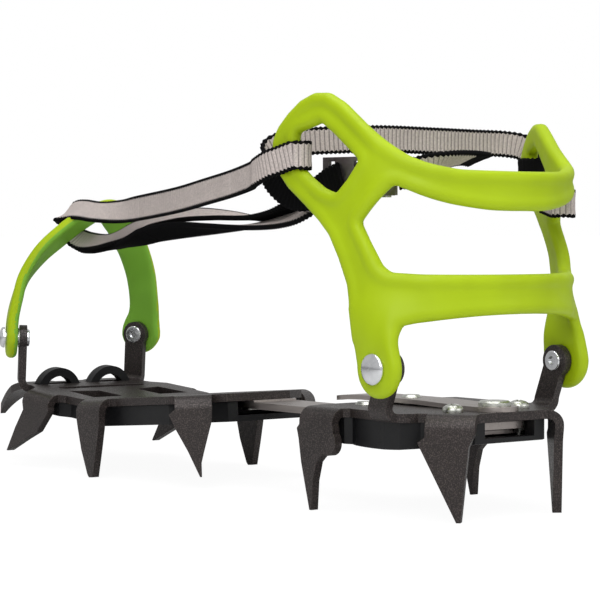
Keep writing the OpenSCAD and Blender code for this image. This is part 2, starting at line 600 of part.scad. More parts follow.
// A cut in the run: two stations a hair apart
function cut(p, d) = [st(p - 0.15 * unit(d), up), st(p + 0.15 * unit(d), up)];
run_1 = concat(wrap(-1, -7.6, 119.8, 9, 11, 3), [st([-51.5, 11, 114.5], up), st([-45.8, 22, 113.6], up)]);
run_2 = [st([-32.2, 68, 109.2], up), st([-25.6, 96, 106.4], up)];
toe_turn_pts = [[-14, 167.6, 104], [-12.8, 181, 105.8], [-12.3, 190, 105.4], [-12, 196.4, 103.9],
  [-10.8, 200.4, 101], [-9.4, 200, 97], [-8.3, 194.8, 93.8], [-7.8, 187, 92.2], [-8.2, 173.8, 91.2]];
run_3 = concat([st([-16.2, 148, 103.1], half_lie)], [for (q = toe_turn_pts) st(q + [0, toe_shift, 0], lie)],
  [st([-10.4, 154, 92.8], half_lie)]);
run_4 = [st([-17.4, 105, 97], up), st([-22, 76.6, 98.2], up)];
run_5 = [st([-29.8, 30, 100], up), st([-32, 19, 101], up), st([-34, 9, 103], up), st([-34.8, 1.4, 106.8], up),
  st([-34.3, -4, 110.6], up), st([-33.4, -10.4, 113], up)];
web_run = concat(run_1, cut([-38.1, 45, 111.5], [13.6, 46, -5.8]), run_2,
  cut([-19.2, 130, 103.8], [9.4, 52, -3.3]), run_3, cut([-13.6, 130, 95.4], [-6.8, -49, 4.2]), run_4,
  cut([-27.2, 45, 99.3], [-7.8, -46.6, 1.8]), run_5);
i_1 = len(run_1);
i_2 = i_1 + 2 + len(run_2);
i_3 = i_2 + 2 + len(run_3);
i_4 = i_3 + 2 + len(run_4);
i_5 = len(web_run) - 1;
web_curve = curve(web_run, 4);
module web_part(a, b) color("#aca5a0") world() band([for (i = [4 * a:4 * b]) web_curve[i]], web_w);
module strap_side_rear() web_part(0, i_1);
module strap_side_mid() web_part(i_1 + 1, i_2);
module strap_toe_loop() web_part(i_2 + 1, i_3);
module strap_return_mid() web_part(i_3 + 1, i_4);
module strap_return_rear() web_part(i_4 + 1, i_5);
module strap_instep() color("#aca5a0") world() band(curve(concat(wrap(1, -12.6, 116, 6, 8, -1),
  [st([66.2, -0.5, 119.2], up), st([66, 5, 121.6], up), st([60.5, 9.6, 123.4], up), st([48, 12, 124.8], up),
   st([28, 12.5, 126], up), st([5, 14, 126.8], up), st([-15, 18, 126.6], up), st([-28, 23.4, 125.6], up),
   st([-36, 28.2, 123.6], up), st([-39.6, 28.6, 120.4], up), st([-41.4, 24, 115.6], up),
   st([-41.6, 16, 110.4], up), st([-40.6, 7.6, 107.4], up), st([-39.2, 0, 108], up), st([-38, -6.4, 110.6], up),
   st([-36.8, -14, 113], up)]), 3), web_w);
// The loose end turns over until it lies almost flat
module strap_tail() color("#aca5a0") world() band(curve([st([-29.62, -35.3, 113], up),
  st([-26.6, -41, 114.2], up), st([-19, -43, 117], [0.2, -0.5, 0.84]), st([-8, -40, 119.4], [0.3, -0.8, 0.5]),
  st([4, -35, 120.2], [0.33, -0.87, 0.36]), st([12, -31.5, 120], [0.33, -0.87, 0.36])], 5), web_w);
module strap_anchor() color("#aca5a0") world() band(curve(concat(
  [along(1, -44, 180, 14, 103.4), along(1, -44, 180, 7, 103.4)],
  [for (a = [180:-30:0]) along(1, -44, a, 0, 103.4)],
  [for (k = [4, 12, 20]) along(1, -44, 0, k, 103.4)]), 3), 8);

front_plate();
front_antiball();
link_bar();
bar_rivets();
toe_rivets();
toe_washers();
heel_plate();
heel_antiball();
bar_guides();
guide_rivets();
heel_screws();
heel_nuts();
heel_rivets();
heel_washers();
lever_rivet();
lever_tail();
lock_lever();
lock_pin();
heel_basket();
buckle_frame();
buckle_lever();
buckle_pin();
toe_bail();
strap_side_rear();
strap_side_mid();
strap_toe_loop();
strap_return_mid();
strap_return_rear();
strap_instep();
strap_anchor();
strap_tail();
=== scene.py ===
"""Looks of a strap-on mountaineering crampon: coated steel frames, moulded basket and bail, webbing."""

import math

import bpy
import numpy as np
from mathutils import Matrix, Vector


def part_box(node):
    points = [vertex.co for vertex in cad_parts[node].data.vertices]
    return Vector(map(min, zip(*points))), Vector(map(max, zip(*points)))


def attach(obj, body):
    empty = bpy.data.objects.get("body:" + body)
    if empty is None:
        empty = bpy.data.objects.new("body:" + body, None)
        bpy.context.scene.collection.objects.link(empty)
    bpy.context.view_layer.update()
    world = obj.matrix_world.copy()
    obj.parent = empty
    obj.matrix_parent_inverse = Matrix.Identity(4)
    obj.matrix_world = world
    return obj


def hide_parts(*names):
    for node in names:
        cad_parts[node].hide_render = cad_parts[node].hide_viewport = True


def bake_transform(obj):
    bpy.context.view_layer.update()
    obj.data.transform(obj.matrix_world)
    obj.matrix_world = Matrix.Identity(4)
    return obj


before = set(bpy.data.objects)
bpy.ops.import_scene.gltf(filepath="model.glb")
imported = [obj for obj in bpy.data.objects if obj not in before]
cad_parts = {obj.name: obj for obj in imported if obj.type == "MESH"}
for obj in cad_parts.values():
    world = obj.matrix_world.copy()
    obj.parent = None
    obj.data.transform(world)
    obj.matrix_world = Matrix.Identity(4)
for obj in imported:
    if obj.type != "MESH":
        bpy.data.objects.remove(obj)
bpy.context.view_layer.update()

bl_info = {
    "name": "Crampon looks",
    "version": (1, 0, 0),
    "blender": (4, 5, 0),
    "location": "View3D > Sidebar > Crampon",
    "description": "Finishes and soft pieces of a strap-on mountaineering crampon",
    "category": "Object",
}

MM = 0.001

# Heel pivot in heel coordinates, millimetres: y and z of the axis of the basket rivets
PIVOT_Y = -41.0
PIVOT_Z = 50.0
RIVET_LOW, RIVET_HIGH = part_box("heel_rivets")
HEEL_X = (RIVET_LOW.x + RIVET_HIGH.x) / 2 / MM
HEEL_Y = (RIVET_LOW.y + RIVET_HIGH.y) / 2 / MM - PIVOT_Y


def in_frame(points):
    """Heel coordinates in millimetres to the frame in metres."""
    return (np.asarray(points, float) + (HEEL_X, HEEL_Y, 0.0)) * MM


# Shape helpers


def ease(low, high, value):
    """Smooth step from 0 at low to 1 at high."""
    share = np.clip((np.asarray(value, float) - low) / (high - low), 0, 1)
    return share * share * (3 - 2 * share)


def rounded_ring(ring, rounds):
    """Closed outline with its corners cut, again and again."""
    points = np.asarray(ring, float)
    for _ in range(rounds):
        after = np.roll(points, -1, axis=0)
        points = np.stack([0.75 * points + 0.25 * after, 0.25 * points + 0.75 * after], 1).reshape(-1, 2)
    return points


def flowing(points, steps):
    """Smooth curve through the points, with that many steps between neighbours."""
    points = np.asarray(points, float)
    padded = np.vstack([points[:1], points, points[-1:]])
    share = (np.arange(steps) / steps)[:, None]
    pieces = []
    for i in range(len(points) - 1):
        a, b, c, d = padded[i:i + 4]
        pieces.append(0.5 * (2 * b + (c - a) * share + (2 * a - 5 * b + 4 * c - d) * share ** 2
                             + (3 * b - a - 3 * c + d) * share ** 3))
    return np.vstack(pieces + [points[-1:]])


def run_length(points):
    """Length along a polyline, at each of its points."""
    return np.concatenate([[0], np.cumsum(np.linalg.norm(np.diff(points, axis=0), axis=1))])


def unit(vectors):
    """The same directions with length one."""
    return vectors / np.linalg.norm(vectors, axis=-1, keepdims=True)


def outline_distance(points, ring):
    """Distance of each point to a closed outline, negative inside."""
    nearest = np.full(len(points), np.inf)
    inside = np.zeros(len(points), bool)
    for start, end in zip(ring, np.roll(ring, -1, axis=0)):
        along = end - start
        rel = points - start
        share = np.clip(rel @ along / max(along @ along, 1e-12), 0, 1)
        nearest = np.minimum(nearest, ((rel - share[:, None] * along) ** 2).sum(1))
        if start[1] != end[1]:
            spans = (start[1] > points[:, 1]) != (end[1] > points[:, 1])
            inside ^= spans & (rel[:, 0] < along[0] * rel[:, 1] / along[1])
    return np.where(inside, -1, 1) * np.sqrt(nearest)


def joined(a, b, softness):
    """Union of two distance fields with a soft fillet."""
    mix = np.clip(0.5 + 0.5 * (b - a) / softness, 0, 1)
    return b + (a - b) * mix - softness * mix * (1 - mix)


def rounded_wall(outline, across, half, radius):
    """Distance field of a wall with rounded edges, from its outline field and the place across it."""
    edge = outline + radius
    face = np.abs(across) - half + radius
    corner = np.hypot(np.maximum(edge, 0), np.maximum(face, 0))
    return np.minimum(np.maximum(edge, face), 0) + corner - radius


def sample_axes(low, high, step):
    """Even places from low to past high, along each axis."""
    count = np.ceil((high - low) / step).astype(int) + 1
    return [low[i] + step[i] * np.arange(count[i]) for i in range(3)]


def net_surface(field, low, step):
    """Quads on the zero level of a sampled field: (points, faces)."""
    shape = np.array(field.shape)
    corners = np.array([(i, j, k) for i in (0, 1) for j in (0, 1) for k in (0, 1)])
    total = np.zeros((*(shape - 1), 3))
    count = np.zeros(shape - 1)

    def at_corner(c):
        return field[tuple(slice(c[i], shape[i] - 1 + c[i]) for i in range(3))]

    for a in range(8):
        for b in range(a + 1, 8):
            if np.abs(corners[a] - corners[b]).sum() != 1:
                continue
            here, there = at_corner(corners[a]), at_corner(corners[b])
            cross = (here < 0) != (there < 0)
            share = np.where(cross, here / np.where(cross, here - there, 1), 0)[..., None]
            total += cross[..., None] * (corners[a] + share * (corners[b] - corners[a]))
            count += cross
    live = count > 0
    index = np.full(live.shape, -1)
    index[live] = np.arange(live.sum())
    points = low + step * (np.argwhere(live) + total[live] / count[live][:, None])
    faces = []
    solid = field < 0
    for axis in range(3):
        u, v = (axis + 1) % 3, (axis + 2) % 3
        near = np.take(solid, range(shape[axis] - 1), axis)
        far = np.take(solid, range(1, shape[axis]), axis)
        for place in np.argwhere(near != far):
            ring = []
            for du, dv in ((-1, -1), (0, -1), (0, 0), (-1, 0)):
                cell = place.copy()
                cell[u] += du
                cell[v] += dv
                ring.append(index[tuple(cell)])
            faces.append(ring if near[tuple(place)] else ring[::-1])
    return points, faces


def signed_volume(points, faces):
    """Volume inside a closed surface, negative where its faces look inwards."""
    total = 0.0
    for face in faces:
        a, b, c = points[face[0]], points[face[1]], points[face[2]]
        total += a @ np.cross(b, c)
        if len(face) == 4:
            total += a @ np.cross(c, points[face[3]])
    return total


def add_object(name, data):
    """Object in the scene."""
    item = bpy.data.objects.new(name, data)
    bpy.context.scene.collection.objects.link(item)
    return item


def new_piece(name, points, faces, materials, kinds=None):
    """Mesh object in the scene from points in metres, faces turned outwards."""
    if signed_volume(points, faces) < 0:
        faces = [list(reversed(face)) for face in faces]
    mesh = bpy.data.meshes.new(name)
    mesh.from_pydata([tuple(p) for p in points], [], [list(f) for f in faces])
    for material in materials:
        mesh.materials.append(material)
    if kinds is not None:
        mesh.polygons.foreach_set("material_index", np.asarray(kinds, np.int32))
    mesh.shade_smooth()
    mesh.validate()
    mesh.update()
    return add_object(name, mesh)


# Materials


def set_inputs(tree, node, values):
    """Inputs by name or number: an output is linked to them, anything else is their own value."""
    for name, value in values.items():
        if isinstance(value, bpy.types.NodeSocket):
            tree.links.new(value, node.inputs[name])
        else:
            node.inputs[name].default_value = value


def new_node(tree, kind, values, **settings):
    """Node of that kind with these settings and inputs."""
    node = tree.nodes.new(kind)
    for name, value in settings.items():
        setattr(node, name, value)
    set_inputs(tree, node, values)
    return node


def start_material(name, colour, roughness, metallic=0.0, specular=0.5):
    """Material with a Principled shader; returns (material, tree, shader)."""
    material = bpy.data.materials.new(name)
    material.use_nodes = True
    tree = material.node_tree
    shader = tree.nodes["Principled BSDF"]
    set_inputs(tree, shader, {"Base Color": (*colour, 1), "Roughness": roughness, "Metallic": metallic,
                              "Specular IOR Level": specular})
    material.diffuse_color = (*colour, 1)
    return material, tree, shader


def noise_at(tree, grain_mm, detail=2.0, stretch=(1, 1, 1)):
    """Noise on the object's own coordinates, with grains of about that size."""
    place = new_node(tree, "ShaderNodeTexCoord", {})
    scale = [1 / (MM * grain_mm * s) for s in stretch]
    mapping = new_node(tree, "ShaderNodeMapping", {"Vector": place.outputs["Object"], "Scale": scale})
    noise = new_node(tree, "ShaderNodeTexNoise", {
        "Vector": mapping.outputs["Vector"], "Scale": 1.0, "Detail": detail})
    return noise.outputs["Fac"]


def ramp_between(tree, value, low, high, from_value=0.0, to_value=1.0):
    """Value mapped from low..high to from_value..to_value, clamped."""
    node = new_node(tree, "ShaderNodeMapRange", {
        "Value": value, "From Min": low, "From Max": high, "To Min": from_value, "To Max": to_value})
    return node.outputs["Result"]


def mixed_colour(tree, share, first, second):
    """Colour that goes from first to second; each is a colour or an output."""
    first, second = (c if isinstance(c, bpy.types.NodeSocket) else (*c, 1) for c in (first, second))
    node = new_node(tree, "ShaderNodeMix", {"Factor": share, "A": first, "B": second}, data_type="RGBA")
    return node.outputs["Result"]


def raise_grain(tree, shader, height, depth_mm, strength, normal=None):
    """Fine relief from a height value."""
    bump = new_node(tree, "ShaderNodeBump", {
        "Height": height, "Distance": depth_mm * MM, "Strength": strength})
    if normal is not None:
        set_inputs(tree, bump, {"Normal": normal})
    set_inputs(tree, shader, {"Normal": bump.outputs["Normal"]})


def soft_edges(tree, radius_mm):
    """Normal of edges broken by that radius."""
    bevel = new_node(tree, "ShaderNodeBevel", {"Radius": radius_mm * MM}, samples=6)
    return bevel.outputs["Normal"]


def worn_edges(tree, normal):
    """1 on edges, 0 on flats, from the broken edge's normal."""
    geometry = new_node(tree, "ShaderNodeNewGeometry", {})
    dot = new_node(tree, "ShaderNodeVectorMath", {0: normal, 1: geometry.outputs["Normal"]},
                   operation="DOT_PRODUCT")
    return ramp_between(tree, dot.outputs["Value"], low=0.995, high=0.86)


def shade(colour, factor):
    """Colour made darker or lighter."""
    return tuple(min(1.0, c * factor) for c in colour)


def coated_steel(colour):
    """Dark textured coat on steel sheet, with pale specks and rubbed edges."""
    material, tree, shader = start_material("coated_steel", colour, roughness=0.42, metallic=0.35)
    cloud = ramp_between(tree, noise_at(tree, grain_mm=14, detail=3), low=0.35, high=0.65)
    speck = ramp_between(tree, noise_at(tree, grain_mm=0.42, detail=1), low=0.5, high=0.64)
    ground = mixed_colour(tree, cloud, shade(colour, 0.82), shade(colour, 1.15))
    pale = ramp_between(tree, speck, 0, 1, to_value=0.62)
    specked = mixed_colour(tree, pale, ground, shade(colour, 4.2))
    edge = soft_edges(tree, radius_mm=0.35)
    rubbed = ramp_between(tree, worn_edges(tree, edge), 0, 1, to_value=0.45)
    tone = mixed_colour(tree, rubbed, specked, shade(colour, 3.0))
    gloss = ramp_between(tree, speck, 0, 1, from_value=0.46, to_value=0.3)
    set_inputs(tree, shader, {"Base Color": tone, "Roughness": gloss})
    grain = noise_at(tree, grain_mm=0.55, detail=1)
    raise_grain(tree, shader, grain, depth_mm=0.08, strength=0.6, normal=edge)
    return material


def moulded_plastic(name, colour, roughness):
    """Satin moulded plastic with a fine skin."""
    material, tree, shader = start_material(name, colour, roughness, specular=0.3)
    cloud = ramp_between(tree, noise_at(tree, grain_mm=22), low=0.3, high=0.7)
    tone = mixed_colour(tree, cloud, shade(colour, 0.9), shade(colour, 1.05))
    gloss = ramp_between(tree, noise_at(tree, grain_mm=6), low=0.3, high=0.7,
                         from_value=roughness - 0.05, to_value=roughness + 0.07)
    set_inputs(tree, shader, {"Base Color": tone, "Roughness": gloss})
    raise_grain(tree, shader, noise_at(tree, grain_mm=0.35), depth_mm=0.012, strength=0.5)
    return material


def plated_metal(name, colour, roughness, grain_mm=1.2, stretch=(1, 1, 1)):
    """Bare or plated metal with faint scratches and broken edges."""
    material, tree, shader = start_material(name, colour, roughness, metallic=1.0)
    patch = noise_at(tree, grain_mm, detail=4, stretch=stretch)
    tone = mixed_colour(tree, patch, shade(colour, 0.78), shade(colour, 1.15))
    gloss = ramp_between(tree, patch, low=0.3, high=0.7,
                         from_value=roughness * 0.75, to_value=roughness * 1.3)
    set_inputs(tree, shader, {"Base Color": tone, "Roughness": gloss})
    scratch = noise_at(tree, grain_mm / 5, stretch=stretch)
    edge = soft_edges(tree, radius_mm=0.2)
    raise_grain(tree, shader, scratch, depth_mm=0.01, strength=0.35, normal=edge)
    return material


def woven(name, colour, spread):
    """Woven yarn: fine threads, dull."""
    material, tree, shader = start_material(name, colour, roughness=0.85, specular=0.1)
    thread = noise_at(tree, grain_mm=0.5)
    strand = ramp_between(tree, thread, low=0.35, high=0.65)
    tone = mixed_colour(tree, strand, shade(colour, 1 - spread), shade(colour, 1 + spread))
    cloud = ramp_between(tree, noise_at(tree, grain_mm=9), low=0.35, high=0.7, to_value=0.35)
    set_inputs(tree, shader, {"Base Color": mixed_colour(tree, cloud, tone, shade(colour, 0.8))})
    raise_grain(tree, shader, thread, depth_mm=0.08, strength=0.6)
    return material


def paint(nodes, material):
    """One material on each of these CAD nodes."""
    for node in nodes:
        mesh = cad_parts[node].data
        mesh.materials.clear()
        mesh.materials.append(material)


# Heel basket: a wall bent round the heel, unrolled along its middle line

# Plan of its outer face: corner and rear arcs, opening of the sides in degrees, and front end
CORNER_X, CORNER_Y = 15.5, -33.5
CORNER_R = 27.0
REAR_R = 55.0
REAR_C = CORNER_Y + math.sqrt((REAR_R - CORNER_R) ** 2 - CORNER_X ** 2)
OPEN_LEFT, OPEN_RIGHT = 12.0, 30.0
WALL_FRONT = 8.0
CORNER_STEPS, REAR_STEPS, SIDE_STEPS = 60, 160, 100
# Flat lobes on the rivets: middle of their thickness, outline, bore and fillet
LOBE_MIDDLE = 42.5
LOBE_R = 9.7
LOBE_BORE_R = 2.6
LOBE_FILLET = 2.0
# Side view of the left half, y and z, from the lower front round the loop to the rear
BASKET_SIDE = [
    (-30.7, 58), (-30.6, 66), (-28.8, 77), (-25.2, 85.8), (-21.2, 93.4), (-17, 98), (-10.5, 103.7),
    (-4, 109), (0.5, 114.5), (2.9, 120), (2.6, 125), (0.3, 129.5), (-4, 134), (-9.1, 138), (-15, 140.4),
    (-21, 140.2), (-27.2, 136.8), (-36.7, 128.9), (-43.7, 123.2), (-49.4, 118.9), (-54.4, 116.6),
    (-60, 114.6), (-72, 113.7), (-72, 100.6), (-64, 101.3), (-58.4, 103.4), (-51.9, 106.4),
    (-45.2, 109.7), (-39.5, 104), (-33.7, 97.5), (-38, 90), (-41.8, 83.4), (-44.4, 81.3), (-52.8, 80.7),
    (-72, 80.5), (-72, 67.9), (-66.3, 67.7), (-62.3, 67), (-55.1, 65.5), (-51.8, 64.9), (-49, 64),
    (-47.8, 58)]
BASKET_LOOP = [
    (-18.1, 130.4), (-8.4, 127.4), (-7.8, 126), (-7.8, 118.6), (-9.6, 116), (-14, 112.2), (-19, 108.8),
    (-23, 107.4), (-24.5, 107.4), (-29, 111.9), (-33.5, 117.7), (-29.1, 121.7), (-23.4, 126.5)]
LOBE_NECK = [(-31.3, 50), (-30.7, 62), (-30.2, 70), (-47.8, 70), (-47.8, 62), (-50.6, 51.5)]
# The right loop is pulled outwards ahead of PULL_Y and sits lower; start and length of the drop in y and z
LOOP_DROP = 7.5
PULL_Y = -40.0
DROP_Y = (-58, 30)
DROP_Z = (100, 40)
# The springy side walls stand out: reach and the heights over which it grows; the right one comes back in
SPREAD_Y = (-52, -36)
LEFT_SPREAD = 3.4
LEFT_SPREAD_Z = (48, 72)
RIGHT_SPREAD = 3.0
RIGHT_SPREAD_Z = (56, 74)
RIGHT_RETURN_Z = (102, 84)
RIGHT_TUCK = 1.7
RIGHT_TUCK_Z = (100, 112)
# The bent wall turns into the flat lobes below ARM_Z, but not behind REAR_Y above REAR_Z
ARM_Z = (56, 78)
REAR_Y = (-45, -54)
REAR_Z = (59, 66)
# How far each half's outline passes the middle of the rear
PAST_MIDDLE = 6.0
# Channel along the struts: distance from the edge and height over which it deepens, and its run-in
DISH_IN = (2.6, 5.4)
DISH_Z = (64, 78)
DISH_RUN_IN = 1.5
# Sampling of the wall: steps along, up and across, heights, and margins round it
BASKET_STEP = (0.9, 0.9, 0.6)
BASKET_Z = (36.0, 144.0)
SIDE_MARGIN = 3.0
FACE_MARGIN = 1.5
# Distance for places on the other half
FAR = 99.0


def opening(side):
    """Angle of the basket's side wall, radians."""
    return math.radians(OPEN_RIGHT if side > 0 else OPEN_LEFT)


def wall_line(inset):
    """Plan of the basket wall set in from its outer face, right front end to left front end."""
    corner, rear = CORNER_R - inset, REAR_R - inset
    meet = math.degrees(math.atan2(CORNER_Y - REAR_C, CORNER_X))

    def arc(centre, radius, start, end, steps):
        angle = np.radians(np.linspace(start, end, steps))
        return np.stack([centre[0] + radius * np.cos(angle), centre[1] + radius * np.sin(angle)], 1)

    right = arc((CORNER_X, CORNER_Y), corner, -OPEN_RIGHT, meet, CORNER_STEPS)
    back = arc((0, REAR_C), rear, meet, -180 - meet, REAR_STEPS)
    left = arc((-CORNER_X, CORNER_Y), corner, -180 - meet, -180 + OPEN_LEFT, CORNER_STEPS)

    def straight(tangent, side):
        turn = opening(side)
        reach = np.linspace(0, (WALL_FRONT - tangent[1]) / math.cos(turn), SIDE_STEPS)[1:, None]
        return tangent + reach * np.array([side * math.sin(turn), math.cos(turn)])

    return np.vstack([straight(right[0], 1)[::-1], right, back[1:], left[1:], straight(left[-1], -1)])


def pulled_loop(points):
    """Right half of the side view: the loop pulled outwards and down."""
    y, z = np.asarray(points, float).T
    forward = np.clip((y - DROP_Y[0]) / DROP_Y[1], 0, 1)
    upward = np.clip((z - DROP_Z[0]) / DROP_Z[1], 0, 1)
    drop = LOOP_DROP * forward * upward
    ratio = math.cos(opening(1)) / math.cos(opening(-1))
    return np.stack([np.where(y > PULL_Y, PULL_Y + (y - PULL_Y) * ratio, y), z - drop], 1)


def spread(side, y, z):
    """How far the springy side walls stand out above the lobes, millimetres."""
    left = LEFT_SPREAD * ease(*LEFT_SPREAD_Z, z)
    right = RIGHT_SPREAD * ease(*RIGHT_SPREAD_Z, z) * ease(*RIGHT_RETURN_Z, z)
    right = right - RIGHT_TUCK * ease(*RIGHT_TUCK_Z, z)
    return ease(*SPREAD_Y, y) * np.where(np.asarray(side) < 0, left, right)


class BasketWall:
    """Unrolled wall: s along its middle line, z up, t outwards."""

    def __init__(self, thickness):
        self.middle = wall_line(thickness / 2)
        self.outer = wall_line(0)
        self.s = run_length(self.middle)
        self.mid_s = self.s[np.argmin(self.outer[:, 1])]
        self.out = unit(np.stack([-np.gradient(self.middle[:, 1]), np.gradient(self.middle[:, 0])], 1))

    def along(self, y, side):
        """Place along the wall of a side-view y; points behind the wall pass the middle."""
        half = self.s <= self.mid_s if side > 0 else self.s >= self.mid_s
        order = np.argsort(self.outer[half, 1])
        s = np.interp(y, self.outer[half, 1][order], self.s[half][order])
        return np.where(y < self.outer[:, 1].min(), self.mid_s + PAST_MIDDLE * side, s)

    def ring(self, points, side, rounds):
        """Side-view outline on the unrolled wall."""
        dense = []
        points = np.asarray(points, float)
        for a, b in zip(points, np.roll(points, -1, axis=0)):
            dense.extend(a + (b - a) * k for k in (0, 0.25, 0.5, 0.75))
        ring = rounded_ring(dense, rounds)
        return np.stack([self.along(ring[:, 0], side), ring[:, 1]], 1)

    def place(self, points):
        """Unrolled points in heel coordinates; below the arms the wall turns into the flat lobes."""
        s, z, t = points.T
        middle = [np.interp(s, self.s, self.middle[:, i]) for i in (0, 1)]
        out = [np.interp(s, self.s, self.out[:, i]) for i in (0, 1)]
        y_side = np.interp(s, self.s, self.outer[:, 1])
        side = np.where(s < self.mid_s, 1, -1)
        share = ease(*ARM_Z, z)
        share = share + (1 - share) * ease(*REAR_Y, y_side) * ease(*REAR_Z, z)
        x = share * (middle[0] + t * out[0]) + (1 - share) * side * (LOBE_MIDDLE + t)
        x = x + side * spread(side, y_side, z)
        y = share * (middle[1] + t * out[1]) + (1 - share) * y_side
        return np.stack([x, y, z], 1)


def basket_surface(thickness, edge_r, dish):
    """Points and faces of the moulded basket, heel coordinates."""
    wall = BasketWall(thickness)
    step = np.array(BASKET_STEP)
    low = np.array([wall.s[0] - SIDE_MARGIN, BASKET_Z[0], -thickness / 2 - FACE_MARGIN])
    high = np.array([wall.s[-1] + SIDE_MARGIN, BASKET_Z[1], thickness / 2 + FACE_MARGIN])
    s, z, t = sample_axes(low, high, step)
    flat = np.stack(np.meshgrid(s, z, indexing="ij"), -1).reshape(-1, 2)
    outline = np.full(len(flat), np.inf)
    for side in (1, -1):
        shape = pulled_loop if side > 0 else np.asarray
        body = outline_distance(flat, wall.ring(shape(BASKET_SIDE), side, rounds=2))
        loop = outline_distance(flat, wall.ring(shape(BASKET_LOOP), side, rounds=2))
        outline = np.minimum(outline, np.maximum(body, -loop))
        neck = outline_distance(flat, wall.ring(LOBE_NECK, side, rounds=1))
        place = np.interp(flat[:, 0], wall.s, wall.outer[:, 1])
        here = (flat[:, 0] < wall.mid_s) == (side > 0)
        eye = np.where(here, np.hypot(place - PIVOT_Y, flat[:, 1] - PIVOT_Z), FAR)
        outline = joined(outline, np.minimum(neck, eye - LOBE_R), LOBE_FILLET)
        outline = np.maximum(outline, LOBE_BORE_R - eye)
    outline = outline.reshape(len(s), len(z))[..., None]
    hollow = dish * ease(*DISH_IN, -outline) * ease(*DISH_Z, z)[None, :, None]
    across = t[None, None, :] + np.zeros_like(outline)
    across = np.where(across > 0, across + hollow * np.clip(across / DISH_RUN_IN, 0, 1), across)
    points, faces = net_surface(rounded_wall(outline, across, thickness / 2, edge_r), low, step)
    return wall.place(points), faces


# Toe bail: a band from pivot to pivot over the toe

FOLD_Y = 152.0
FOLD_Z = 28.576
TOE_SLOPE = 4.0
TOE_TURN = 28.0
TOE_BASE = (24.9, 201.8)
TOE_PIVOT_H = 19.0
BAIL_OUT = 8.15
# Right half of the middle line, outwards and up from the toe post's edge, pivot second, up to the crown
BAIL_PATH = [
    (BAIL_OUT, TOE_PIVOT_H - 12), (BAIL_OUT, TOE_PIVOT_H), (BAIL_OUT - 0.2, 27), (6.6, 34.5), (3.8, 44),
    (-2.5, 53.5), (-9.7, 60.6), (-17.4, 67)]
BAIL_CROWN = (-26.6, 72.6)
PATH_STEPS = 14
# Shift of the band behind the post's middle, and the heights over which it comes
BAIL_SHIFT = 0.8
BAIL_SHIFT_UP = (22, 32)
# Lean of the band on the toe of the boot, rear edge up, and the reach from the pivot over which it comes
BAIL_LEAN = 28.0
LEAN_REACH = (12, 48)
# Half the width in which the band turns from one post's direction to the other's
CROWN_HALF = 15
# Eyes on the toe rivets
BAIL_EYE_R = 8.4
BAIL_BORE_R = 2.9
BAIL_FILLET = 2.5
BAIL_EDGE_R = 2.0
# Sampling of the band: steps along, across and through it, and margins round the eyes
BAIL_STEP = (0.8, 0.7, 0.6)
EYE_MARGIN = 11.0
# Side of the band that looks at the boot, and the share of the rounded edge that does not belong to it;
# that side gets a darker green, a painted shade
INSIDE = -1
INSIDE_SHARE = 0.75


def toe_point(along, out, up):
    """Point of the toe post's edge frame in heel coordinates."""
    turn = math.radians(TOE_TURN)
    x = TOE_BASE[0] + along * math.sin(turn) + out * math.cos(turn)
    y = TOE_BASE[1] - along * math.cos(turn) + out * math.sin(turn)
    slope = math.radians(TOE_SLOPE)
    return np.array([x, FOLD_Y + (y - FOLD_Y) * math.cos(slope) - up * math.sin(slope),
                     FOLD_Z + (y - FOLD_Y) * math.sin(slope) + up * math.cos(slope)])


